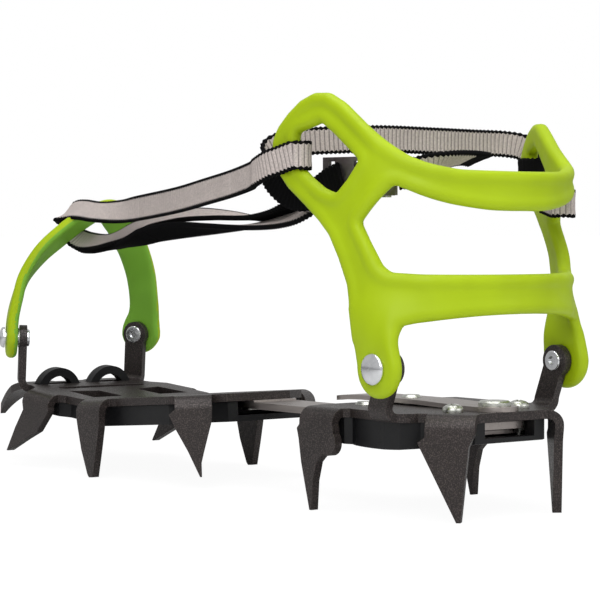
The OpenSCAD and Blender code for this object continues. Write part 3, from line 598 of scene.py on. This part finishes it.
def bail_surface(width, thickness, edge_r):
    """Points and faces of the moulded toe bail, heel coordinates, and which faces are on its inside, where
    a darker green is painted as shade.
    """
    half = np.array([toe_point(BAIL_SHIFT * ease(*BAIL_SHIFT_UP, up), out, up) for out, up in BAIL_PATH])
    crown = toe_point(BAIL_SHIFT, *BAIL_CROWN)
    crown[0] = 0.0
    mirror = half[::-1] * (-1, 1, 1)
    line = flowing(np.vstack([half, crown[None], mirror]), PATH_STEPS)
    u = run_length(line)
    ahead = unit(np.gradient(line, axis=0))
    turn = math.radians(TOE_TURN)
    lean = 1 - 2 * ease(-CROWN_HALF, CROWN_HALF, -line[:, 0])
    side = np.stack([lean * math.sin(turn), np.full(len(line), -math.cos(turn)), np.zeros(len(line))], 1)
    side = unit(side - (side * ahead).sum(1, keepdims=True) * ahead)
    out = np.cross(ahead, side)
    pivot, total = u[PATH_STEPS], u[-1]
    reach = np.minimum(u, total - u) - pivot
    tilt = math.radians(BAIL_LEAN) * ease(*LEAN_REACH, reach)[:, None]
    side, out = side * np.cos(tilt) + out * np.sin(tilt), out * np.cos(tilt) - side * np.sin(tilt)
    front, rear = width / 2 - 0.4, width / 2 + 0.2
    # Edges of the band: reach from the pivot and half width
    front_edge = [(-4, 7.6), (4, 7.4), (9.5, front - 0.3), (15, front - 0.4), (26, front)]
    rear_edge = [(-4, 8.0), (4, 8.2), (14, rear + 0.5), (26, rear)]
    ring = [(pivot + a, -w) for a, w in front_edge]
    ring += [(total - (pivot + a), -w) for a, w in reversed(front_edge)]
    ring += [(total - (pivot + a), w) for a, w in rear_edge]
    ring += [(pivot + a, w) for a, w in reversed(rear_edge)]
    step = np.array(BAIL_STEP)
    low = np.array([pivot - EYE_MARGIN, -EYE_MARGIN, -thickness / 2 - FACE_MARGIN])
    high = np.array([total - pivot + EYE_MARGIN, EYE_MARGIN, thickness / 2 + FACE_MARGIN])
    axes = sample_axes(low, high, step)
    flat = np.stack(np.meshgrid(axes[0], axes[1], indexing="ij"), -1).reshape(-1, 2)
    outline = outline_distance(flat, rounded_ring(ring, rounds=2))
    for place in (pivot, total - pivot):
        eye = np.hypot(flat[:, 0] - place, flat[:, 1])
        outline = joined(outline, eye - BAIL_EYE_R, BAIL_FILLET)
        outline = np.maximum(outline, BAIL_BORE_R - eye)
    outline = outline.reshape(len(axes[0]), len(axes[1]))[..., None]
    across = axes[2][None, None, :] + np.zeros_like(outline)
    points, faces = net_surface(rounded_wall(outline, across, thickness / 2, edge_r), low, step)

    def at_points(rows):
        return np.stack([np.interp(points[:, 0], u, rows[:, i]) for i in range(3)], 1)

    placed = at_points(line) + points[:, 1:2] * unit(at_points(side))
    placed += points[:, 2:3] * unit(at_points(out))
    depth = points[:, 2][np.array(faces)].mean(1)
    return placed, faces, depth * INSIDE > thickness / 2 - edge_r * INSIDE_SHARE


# Webbing

# Width directions: on edge, and lying on the toe bail
UP = (0.0, 0.0, 1.0)
LIE = (0.62, 0.0, 0.78)
HALF_LIE = (0.36, 0.0, 0.93)
# Turn round a basket loop's bar: gap to the webbing's middle, and angles from the inside to the outside
LOOP_GAP = 1.0
TURN_ANGLES = range(180, -1, -30)
# Anchor loop at the right end of the upper band: place, height, and rise of its inner and outer end
ANCHOR_Y = -44
ANCHOR_Z = 104.2
ANCHOR_RISE = 0.12
ANCHOR_CURL = 0.03
# Ribs across the webbing: spacing, rows of points in each, and height on the face and on the edge
RIB_MM = 1.7
RIB_ROWS = 4
FACE_RIB = 0.16
EDGE_RIB = 0.1
CURVE_STEPS = 16
# Corded edge: its width and roundness, and the share of the thickness at its cord, inner line and face
EDGE_MM = 1.05
CORD_MM = 0.22
CORD_SHARE, INNER_SHARE, FACE_SHARE = 0.6, 0.62, 0.5
# Swing of the edge's outer columns, and of the line where the face meets the edge
SCALLOP_OF = (0.22, 0.22, -0.3, 0.0, 0.0)
# Columns and quads of a section that belong to the face
FACE_COLUMNS = range(2, 7)
FACE_QUADS = range(2, 6)
# Kinds of face: grey face, black back and edges, and a grey row painted darker in each rib's valley as
# shade
FACE, BACK, VALLEY_SHADE = 0, 1, 2


def loop_turn(side, y, angle, reach, z, thickness):
    """Station where webbing turns round the front bar of a basket loop."""
    a = opening(side)
    wall = CORNER_X + CORNER_R * math.cos(a) + (y - CORNER_Y + CORNER_R * math.sin(a)) * math.tan(a)
    wall += float(spread(side, y, z))
    out = np.array([side * math.cos(a), -math.sin(a)])
    ahead = np.array([side * math.sin(a), math.cos(a)])
    centre = np.array([side * (wall - thickness / 2 / math.cos(a)), y])
    radius = thickness / 2 + LOOP_GAP
    turn = math.radians(angle)
    x, y = centre + radius * (math.cos(turn) * out - math.sin(turn) * ahead) + reach * ahead
    return (x, y, z, *UP, 0)


def loop_wrap(side, y, z, inner, outer, fall, thickness):
    """Stations through a basket loop: along the inside, round the bar and along the outside, falling."""
    stations = [loop_turn(side, y, 180, k, z, thickness) for k in (inner, inner / 2)]
    stations += [loop_turn(side, y, angle, 0, z, thickness) for angle in TURN_ANGLES]
    stations += [loop_turn(side, y, 0, k, z - fall * k / outer, thickness) for k in (outer / 2, outer)]
    return stations


def upright(*points):
    """Stations with the webbing standing on edge."""
    return [(*p, *UP, 0) for p in points]


def webbing_runs(thickness):
    """Two chains of webbing, each a list of lengths: CAD node and stations, where a station is x, y, z,
    width direction and roll in degrees. The first chain goes from the left loop round the toe bail to the
    buckle; the second lies under its way back."""
    cut_1, cut_2 = upright((-38.1, 45, 111.5), (-19.2, 130, 103.8))
    cut_3, cut_4 = (-10.4, 130, 99.2, *UP, 126), (-24.6, 45, 99.4, *UP, 84)
    cut_5, cut_6 = (-13.6, 130, 93.5, *UP, 62), (-27.2, 45, 96.8, *UP, 102)
    first = [
        ("strap_side_rear", loop_wrap(-1, y=-7.6, z=119.8, inner=9, outer=11, fall=3, thickness=thickness)
         + upright((-53.6, 11, 114.5), (-47, 22, 113.6)) + [cut_1]),
        ("strap_side_mid", [cut_1] + upright((-32.2, 68, 109.2), (-25.6, 96, 106.4)) + [cut_2]),
        ("strap_toe_loop", [
            cut_2, (-16.2, 148, 102.6, *HALF_LIE, 0), (-14, 167.6, 102.6, *LIE, 0),
            (-12.8, 181, 103.6, *LIE, 0), (-12.3, 189, 103.4, *LIE, 0), (-12, 193.6, 102, *LIE, 12),
            (-10.8, 196.6, 99, *LIE, 66), (-9.4, 196.4, 95.4, *LIE, 134), (-8.3, 192.4, 92.4, *LIE, 170),
            (-7.8, 185.4, 90.6, *LIE, 174), (-8.2, 173.8, 90.4, *LIE, 164),
            (-8.4, 163, 92.2, *HALF_LIE, 150), (-7.6, 153, 95, *UP, 140), (-9.2, 141, 97.3, *UP, 134),
            cut_3]),
        ("strap_return_mid", [cut_3, (-13.4, 105, 101, *UP, 117), (-18.6, 76.6, 100.5, *UP, 102),
                              (-22, 58, 99.5, *UP, 90), cut_4]),
        ("strap_return_rear", [cut_4, (-27.4, 30, 101, *UP, 80), (-28.6, 19, 103.4, *UP, 62),
                               (-29.4, 9, 106.6, *UP, 38), (-30.4, 1.4, 109.4, *UP, 10),
                               (-31.8, -4, 111.4, *UP, 0), (-31.9, -10.4, 113, *UP, 0)]),
    ]
    second = [
        ("strap_toe_loop", [
            (-6.9, 190.5, 91.2, *LIE, 171), (-6.5, 185.4, 89.6, *LIE, 172), (-5.8, 174, 87.7, *LIE, 140),
            (-5.9, 163, 88.9, *UP, 94), (-7.8, 153, 90, *UP, 87), (-11, 141, 91.9, *UP, 72), cut_5]),
        ("strap_return_mid", [cut_5, (-17.4, 105, 95.3, *UP, 60), (-22, 76.6, 95.9, *UP, 77),
                              (-24.6, 60, 96.2, *UP, 89), cut_6]),
        ("strap_return_rear", [cut_6, (-29.8, 30, 97.9, *UP, 116), (-32, 19, 99, *UP, 124),
                               (-34, 9, 100.9, *UP, 134), (-34.8, 1.4, 104.6, *UP, 152),
                               (-34.3, -4, 109.2, *UP, 170), (-33.4, -10.4, 113, *UP, 180)]),
    ]
    return first, second


def free_runs(thickness):
    """Webbing that rides with the basket: CAD node, stations, whether its grey face is turned round,
    and the ribs in the dark hem at its end."""
    wrap = loop_wrap(1, y=-12.6, z=116, inner=6, outer=8, fall=-1, thickness=thickness)
    instep = upright(
        (66.2, -0.5, 121.4), (66, 5, 125.4), (60.5, 9.6, 126.8), (48, 12, 127), (28, 12.5, 127.2),
        (5, 14, 127.4), (-15, 18, 126.6), (-25.5, 22.6, 125.8), (-32, 25.8, 124.2), (-35.6, 26.6, 121.8),
        (-38.2, 25.2, 118.6), (-39, 21.6, 114.4), (-38.4, 16.6, 109.8), (-37.6, 10.6, 106.8),
        (-37.2, 4, 106.4), (-37.2, -2, 108.2), (-37.2, -8, 110.9), (-36.8, -14, 113))
    tail = [
        (-29.62, -35.3, 113, *UP, 0), (-26.6, -41, 114.2, *UP, 0), (-19, -43, 116.6, 0.2, -0.5, 0.84, 0),
        (-8, -40, 118.6, 0.3, -0.8, 0.5, 0), (2, -36, 119.2, 0.33, -0.87, 0.36, 0),
        (8, -33.4, 119, 0.33, -0.87, 0.36, 0)]
    return [
        ("strap_instep", wrap + instep, False, 0),
        ("strap_tail", tail, True, 6),
        ("strap_anchor", anchor_run(thickness), True, 0),
    ]


def anchor_run(thickness):
    """Stations of the short loop at the right end of the upper band."""
    inner = [loop_turn(1, ANCHOR_Y, 180, k, ANCHOR_Z + ANCHOR_RISE * k, thickness) for k in (14, 7)]
    turn = [loop_turn(1, ANCHOR_Y, angle, 0, ANCHOR_Z, thickness) for angle in TURN_ANGLES]
    outer = [loop_turn(1, ANCHOR_Y, 0, k, ANCHOR_Z + ANCHOR_CURL * k * k, thickness) for k in (4, 8, 12)]
    return inner + turn + outer


def dense_run(stations, before=(), after=()):
    """Even stations, a whole number of ribs; the neighbours' stations keep the curve smooth at a cut."""
    curve = flowing([*before, *stations, *after], CURVE_STEPS)
    curve = curve[len(before) * CURVE_STEPS:len(curve) - len(after) * CURVE_STEPS]
    length = run_length(curve[:, :3])
    even = np.linspace(0, length[-1], RIB_ROWS * round(length[-1] / RIB_MM) + 1)
    return np.stack([np.interp(even, length, column) for column in curve.T], 1)


def webbing_section(width, thickness, rib):
    """Ring of (across, up) round a section with corded, scalloped edges, one value for each row of ribs."""
    half = width / 2
    face_half = half - EDGE_MM
    side = [(half, 0.0), (half - CORD_MM, CORD_SHARE), (face_half, INNER_SHARE),
            (face_half / 2, FACE_SHARE)]
    columns = [(-place, share) for place, share in side] + [(0.0, FACE_SHARE)] + side[::-1]
    last = len(columns) - 1
    front = []
    for i, (place, share) in enumerate(columns):
        across = place + np.sign(place) * SCALLOP_OF[min(i, last - i)] * rib
        ridge = (FACE_RIB if i in FACE_COLUMNS else EDGE_RIB) * rib * (1 if share else 0)
        front.append((across, share * thickness + ridge))
    back = [(across, -up) for across, up in reversed(front[1:-1])]
    return front + back


def webbing_surface(stations, width, thickness, flip, hem):
    """Ribbed band with a dark hem of that many ribs at its end and a painted shade in each rib's valley:
    points, faces and the kind of each face.
    """
    centre = stations[:, :3]
    ahead = unit(np.gradient(centre, axis=0))
    wide = stations[:, 3:6]
    wide = unit(wide - (wide * ahead).sum(1, keepdims=True) * ahead)
    roll = np.radians(stations[:, 6:])
    wide = wide * np.cos(roll) + np.cross(ahead, wide) * np.sin(roll)
    thick = np.cross(wide, ahead) * (-1 if flip else 1)
    rib = np.cos(2 * math.pi * np.arange(len(centre)) / RIB_ROWS)
    section = webbing_section(width, thickness, rib)
    points = np.stack([centre + across[:, None] * wide + up[:, None] * thick for across, up in section], 1)
    rows, size = points.shape[:2]
    faces, kinds = [], []
    for i in range(rows - 1):
        for k in range(size):
            n = (k + 1) % size
            faces.append((i * size + k, i * size + n, (i + 1) * size + n, (i + 1) * size + k))
            # One row in each rib of the grey face is painted darker, a painted shade in the rib's valley
            grey = k in FACE_QUADS and i < rows - 1 - hem * RIB_ROWS
            kinds.append((VALLEY_SHADE if i % RIB_ROWS == 1 else FACE) if grey else BACK)
    faces.append(tuple(range(size)))
    faces.append(tuple((rows - 1) * size + k for k in reversed(range(size))))
    return points.reshape(-1, 3), faces, kinds + [BACK, BACK]


# Lengths of webbing, each with two bodies and where a blend between them would start and end; the weaving
# reads only the names
WEBBING_SPANS = {
    "strap_side_rear": ("heel_frame", "heel_basket", (-38.1, 45, 111), (-50, 12, 117)),
    "strap_side_mid": ("front_frame", "heel_frame", (-19, 130, 103), (-38, 45, 111)),
    "strap_toe_loop": ("front_frame", "toe_bail", (-15, 130, 100), (-12, 182, 100)),
    "strap_return_mid": ("front_frame", "heel_frame", (-13.6, 130, 95), (-27, 45, 99)),
    "strap_return_rear": ("heel_frame", "heel_basket", (-27.2, 45, 99), (-34, 2, 108)),
}


def joined_bands(bands):
    """Several bands as one surface."""
    points, faces, kinds, base = [], [], [], 0
    for band_points, band_faces, band_kinds in bands:
        points.append(band_points)
        faces += [tuple(k + base for k in face) for face in band_faces]
        kinds += band_kinds
        base += len(band_points)
    return np.concatenate(points), faces, kinds


# Operators and panel


def length_property(name, description, size_mm):
    """Length that a user can change."""
    return bpy.props.FloatProperty(name=name, description=description, default=size_mm * MM, unit="LENGTH")


def colour_property(name, description, default):
    """Colour that a user can change."""
    return bpy.props.FloatVectorProperty(
        name=name, description=description, default=default, subtype="COLOR", min=0.0, max=1.0)


class CramponSizes(bpy.types.PropertyGroup):
    """Sizes of the moulded and woven pieces."""

    basket_thickness: length_property("Basket thickness", "Wall of the heel basket", 5.0)
    basket_edge: length_property("Basket edge radius", "Rounding of the basket's edges", 2.3)
    basket_dish: length_property("Basket dish", "Depth of the shallow channel along the struts", 0.7)
    bail_thickness: length_property("Bail thickness", "Thickness of the toe bail", 4.5)
    bail_width: length_property("Bail width", "Width of the toe bail band", 13.0)
    web_width: length_property("Webbing width", "Width of the webbing", 9.6)
    web_thickness: length_property("Webbing thickness", "Thickness of the webbing", 1.3)


class CramponColours(bpy.types.PropertyGroup):
    """Colours of the finishes."""

    steel: colour_property("Steel coat", "Coat of the frames", (0.026, 0.0205, 0.0195))
    black: colour_property("Black moulding", "Anti-balling plates", (0.006, 0.006, 0.007))
    green: colour_property("Green moulding", "Heel basket and toe bail", (0.45, 0.62, 0.004))
    # Darker green on the inside of the toe bail: a painted shade
    green_inner: colour_property("Inner green", "Inside of the toe bail", (0.25, 0.57, 0.05))
    bar: colour_property("Spring steel", "Link bar and length lock", (0.40, 0.36, 0.34))
    zinc: colour_property("Zinc", "Screws, nuts and small rivets", (0.62, 0.63, 0.58))
    polished: colour_property("Polished steel", "Pivot rivets", (0.78, 0.79, 0.81))
    buckle: colour_property("Buckle", "Strap buckle", (0.26, 0.235, 0.25))
    web_face: colour_property("Webbing face", "Grey face of the webbing", (0.62, 0.55, 0.52))
    web_back: colour_property("Webbing back", "Black back and edges", (0.0025, 0.0025, 0.003))


def in_mm(name):
    """One of the scene's sizes, in millimetres."""
    return getattr(bpy.context.scene.crampon_sizes, name) / MM


def colour_of(name):
    """One of the scene's colours."""
    return tuple(getattr(bpy.context.scene.crampon_colours, name))


class CRAMPON_OT_frames(bpy.types.Operator):
    """Coat the steel frames"""

    bl_idname = "crampon.frames"
    bl_label = "Steel frames"

    def execute(self, context):
        paint(("front_plate", "heel_plate"), coated_steel(colour_of("steel")))
        return {"FINISHED"}


class CRAMPON_OT_snow_plates(bpy.types.Operator):
    """Finish the black anti-balling plates"""

    bl_idname = "crampon.snow_plates"
    bl_label = "Anti-balling plates"

    def execute(self, context):
        black = moulded_plastic("black_moulding", colour_of("black"), roughness=0.42)
        paint(("front_antiball", "heel_antiball"), black)
        return {"FINISHED"}


class CRAMPON_OT_length_bar(bpy.types.Operator):
    """Finish the link bar, its saddles and the length lock"""

    bl_idname = "crampon.length_bar"
    bl_label = "Link bar and lock"

    def execute(self, context):
        spring = plated_metal("spring_steel", colour_of("bar"), roughness=0.34, grain_mm=1.0,
                              stretch=(1, 12, 1))
        paint(("link_bar", "bar_guides", "lever_tail", "lock_lever"), spring)
        return {"FINISHED"}


class CRAMPON_OT_fasteners(bpy.types.Operator):
    """Finish the rivets, screws, nuts and washers"""

    bl_idname = "crampon.fasteners"
    bl_label = "Fasteners"

    def execute(self, context):
        zinc = plated_metal("zinc_plate", colour_of("zinc"), roughness=0.3)
        paint(("bar_rivets", "guide_rivets", "heel_screws", "heel_nuts", "lever_rivet", "lock_pin",
               "heel_washers", "toe_washers", "buckle_pin"), zinc)
        polished = plated_metal("polished_steel", colour_of("polished"), roughness=0.16, grain_mm=2.0)
        paint(("toe_rivets", "heel_rivets"), polished)
        return {"FINISHED"}


class CRAMPON_OT_buckle(bpy.types.Operator):
    """Finish the strap buckle"""

    bl_idname = "crampon.buckle"
    bl_label = "Buckle"

    def execute(self, context):
        grey = plated_metal("buckle_steel", colour_of("buckle"), roughness=0.36)
        paint(("buckle_frame", "buckle_lever"), grey)
        return {"FINISHED"}


class CRAMPON_OT_heel_basket(bpy.types.Operator):
    """Mould the heel basket"""

    bl_idname = "crampon.heel_basket"
    bl_label = "Heel basket"

    def execute(self, context):
        points, faces = basket_surface(
            in_mm("basket_thickness"), in_mm("basket_edge"), in_mm("basket_dish"))
        green = moulded_plastic("green_moulding", colour_of("green"), roughness=0.5)
        piece = new_piece("basket_moulding", in_frame(points), faces, [green])
        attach(piece, "heel_basket")
        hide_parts("heel_basket")
        return {"FINISHED"}


class CRAMPON_OT_toe_bail(bpy.types.Operator):
    """Mould the toe bail"""

    bl_idname = "crampon.toe_bail"
    bl_label = "Toe bail"

    def execute(self, context):
        points, faces, inner = bail_surface(in_mm("bail_width"), in_mm("bail_thickness"), BAIL_EDGE_R)
        # The inside faces get a darker green, a painted shade
        skins = [bpy.data.materials["green_moulding"],
                 moulded_plastic("green_inner", colour_of("green_inner"), roughness=0.6)]
        piece = new_piece("bail_moulding", in_frame(points), faces, skins, inner)
        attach(piece, "toe_bail")
        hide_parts("toe_bail")
        return {"FINISHED"}


class CRAMPON_OT_webbing(bpy.types.Operator):
    """Weave the straps; the free lengths ride with the heel basket"""

    bl_idname = "crampon.webbing"
    bl_label = "Webbing"

    def weave(self, node, lengths, flip=False, hem=0):
        """Lengths of webbing in place of their CAD solid."""
        width, thickness = in_mm("web_width"), in_mm("web_thickness")
        points, faces, kinds = joined_bands(
            [webbing_surface(stations, width, thickness, flip, hem) for stations in lengths])
        piece = new_piece(node.replace("strap", "webbing"), in_frame(points), faces, self.cloth, kinds)
        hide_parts(node)
        return piece

    def execute(self, context):
        thickness = in_mm("basket_thickness")
        # The third cloth is the grey face at half brightness, a painted shade for the rib valleys
        self.cloth = [woven("web_face", colour_of("web_face"), spread=0.16),
                      woven("web_back", colour_of("web_back"), spread=0.3),
                      woven("web_valley", shade(colour_of("web_face"), 0.5), spread=0.2)]
        lengths = {node: [] for node in WEBBING_SPANS}
        for chain in webbing_runs(thickness):
            for i, (node, stations) in enumerate(chain):
                before = chain[i - 1][1][-2:-1] if i else []
                after = chain[i + 1][1][1:2] if i + 1 < len(chain) else []
                lengths[node].append(dense_run(stations, before, after))
        for node, (first, second, start, end) in WEBBING_SPANS.items():
            piece = self.weave(node, lengths[node])
            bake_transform(piece)
        for node, stations, turned, hem in free_runs(thickness):
            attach(self.weave(node, [dense_run(stations)], turned, hem), "heel_basket")
        return {"FINISHED"}


# Camera place and aim in heel coordinates, found from the photograph
CAMERA_MM = (-525.1, -608.3, 93.9)
CAMERA_AIM = (0.6209, 0.7833, -0.0289)
FOCAL_MM = 138.0
SENSOR_MM = 36.0
CLIP_M = (0.01, 200.0)
# Soft lamps in metres: name, place, aim, size and power in watts
LAMPS = (
    ("overhead", (-0.1, -0.15, 0.9), (0, -0.05, 0.05), (0.8, 0.8), 5.1),
    ("left_rear", (-0.5, -0.55, 0.5), (0, -0.08, 0.08), (0.5, 0.5), 2.5),
    ("rear_fill", (0.35, -0.95, 0.40), (0, -0.05, 0.08), (0.6, 0.5), 1.25),
)
# Floor in metres: reach, drop under the points, colour, glow that grows away from the part, and its share
FLOOR_REACH = 40.0
FLOOR_DROP = 0.0002
FLOOR_COLOUR = (0.82, 0.82, 0.82, 1)
FLOOR_GLOW = (1.1, 1.2)
GLOW_FROM, GLOW_TO = 0.15, 0.7
GLOW_SHARE = 0.86
# Backdrop: strength of its light on the part, and how much of its white shows in reflections
BACKDROP_LIGHT = 0.2
REFLECTED_SHARE = 0.45


class CRAMPON_OT_stage(bpy.types.Operator):
    """Floor, lights and camera"""

    bl_idname = "crampon.stage"
    bl_label = "Studio"

    def lamp(self, name, place, aim, size, power):
        """Large soft lamp."""
        light = bpy.data.lights.new(name, "AREA")
        light.shape = "RECTANGLE"
        light.size, light.size_y = size
        light.energy = power
        lamp = add_object(name, light)
        lamp.location = place
        lamp.rotation_euler = (Vector(aim) - Vector(place)).to_track_quat("-Z", "Y").to_euler()

    def floor(self):
        """Wide pale floor that stays white to the camera and keeps a soft shadow."""
        mesh = bpy.data.meshes.new("floor")
        corners = [(x * FLOOR_REACH, y * FLOOR_REACH, 0) for x, y in ((-1, -1), (1, -1), (1, 1), (-1, 1))]
        mesh.from_pydata(corners, [], [(0, 1, 2, 3)])
        material = bpy.data.materials.new("pale_floor")
        material.use_nodes = True
        tree = material.node_tree
        tree.nodes.clear()
        diffuse = new_node(tree, "ShaderNodeBsdfDiffuse", {"Color": FLOOR_COLOUR})
        place = new_node(tree, "ShaderNodeTexCoord", {})
        away = new_node(tree, "ShaderNodeVectorMath", {0: place.outputs["Object"]}, operation="LENGTH")
        strength = ramp_between(tree, away.outputs["Value"], GLOW_FROM, GLOW_TO, *FLOOR_GLOW)
        glow = new_node(tree, "ShaderNodeEmission", {"Strength": strength})
        path = new_node(tree, "ShaderNodeLightPath", {})
        share = ramp_between(tree, path.outputs["Is Camera Ray"], 0, 1, to_value=GLOW_SHARE)
        mix = new_node(tree, "ShaderNodeMixShader", {
            "Fac": share, 1: diffuse.outputs["BSDF"], 2: glow.outputs["Emission"]})
        new_node(tree, "ShaderNodeOutputMaterial", {"Surface": mix.outputs["Shader"]})
        mesh.materials.append(material)
        floor = add_object("floor", mesh)
        floor.location.z = -FLOOR_DROP

    def backdrop(self):
        """White to the camera and in reflections, a softer light elsewhere."""
        world = bpy.data.worlds.new("studio")
        world.use_nodes = True
        tree = world.node_tree
        path = new_node(tree, "ShaderNodeLightPath", {})
        glossy = ramp_between(tree, path.outputs["Is Glossy Ray"], 0, 1, to_value=REFLECTED_SHARE)
        seen = new_node(tree, "ShaderNodeMath", {0: path.outputs["Is Camera Ray"], 1: glossy},
                        operation="MAXIMUM")
        strength = ramp_between(tree, seen.outputs["Value"], 0, 1, from_value=BACKDROP_LIGHT)
        set_inputs(tree, tree.nodes["Background"], {"Color": (1, 1, 1, 1), "Strength": strength})
        bpy.context.scene.world = world

    def execute(self, context):
        self.floor()
        self.backdrop()
        for lamp in LAMPS:
            self.lamp(*lamp)
        camera = bpy.data.cameras.new("photo_view")
        camera.lens = FOCAL_MM
        camera.sensor_width = SENSOR_MM
        camera.clip_start, camera.clip_end = CLIP_M
        eye = add_object("photo_view", camera)
        eye.location = in_frame(CAMERA_MM)
        eye.rotation_euler = Vector(CAMERA_AIM).to_track_quat("-Z", "Y").to_euler()
        context.scene.camera = eye
        context.scene.view_settings.view_transform = "Standard"
        return {"FINISHED"}


# The basket comes before the bail, which shares its material
PIECE_OPERATORS = (
    CRAMPON_OT_frames, CRAMPON_OT_snow_plates, CRAMPON_OT_length_bar, CRAMPON_OT_fasteners,
    CRAMPON_OT_buckle, CRAMPON_OT_heel_basket, CRAMPON_OT_toe_bail, CRAMPON_OT_webbing, CRAMPON_OT_stage)


class CRAMPON_PT_panel(bpy.types.Panel):
    """Sizes, colours and steps of the crampon"""

    bl_label = "Crampon"
    bl_idname = "CRAMPON_PT_panel"
    bl_space_type = "VIEW_3D"
    bl_region_type = "UI"
    bl_category = "Crampon"

    def draw(self, context):
        for group in (context.scene.crampon_sizes, context.scene.crampon_colours):
            for name in group.__annotations__:
                self.layout.prop(group, name)
        for operator in PIECE_OPERATORS:
            self.layout.operator(operator.bl_idname)


CLASSES = (CramponSizes, CramponColours, *PIECE_OPERATORS, CRAMPON_PT_panel)


def register():
    """Add the classes and the scene's properties."""
    for cls in CLASSES:
        bpy.utils.register_class(cls)
    bpy.types.Scene.crampon_sizes = bpy.props.PointerProperty(type=CramponSizes)
    bpy.types.Scene.crampon_colours = bpy.props.PointerProperty(type=CramponColours)


def unregister():
    """Take them away again."""
    del bpy.types.Scene.crampon_colours
    del bpy.types.Scene.crampon_sizes
    for cls in reversed(CLASSES):
        bpy.utils.unregister_class(cls)


def main():
    register()
    for operator in PIECE_OPERATORS:
        group, name = operator.bl_idname.split(".")
        getattr(getattr(bpy.ops, group), name)()


if __name__ == "__main__":
    main()
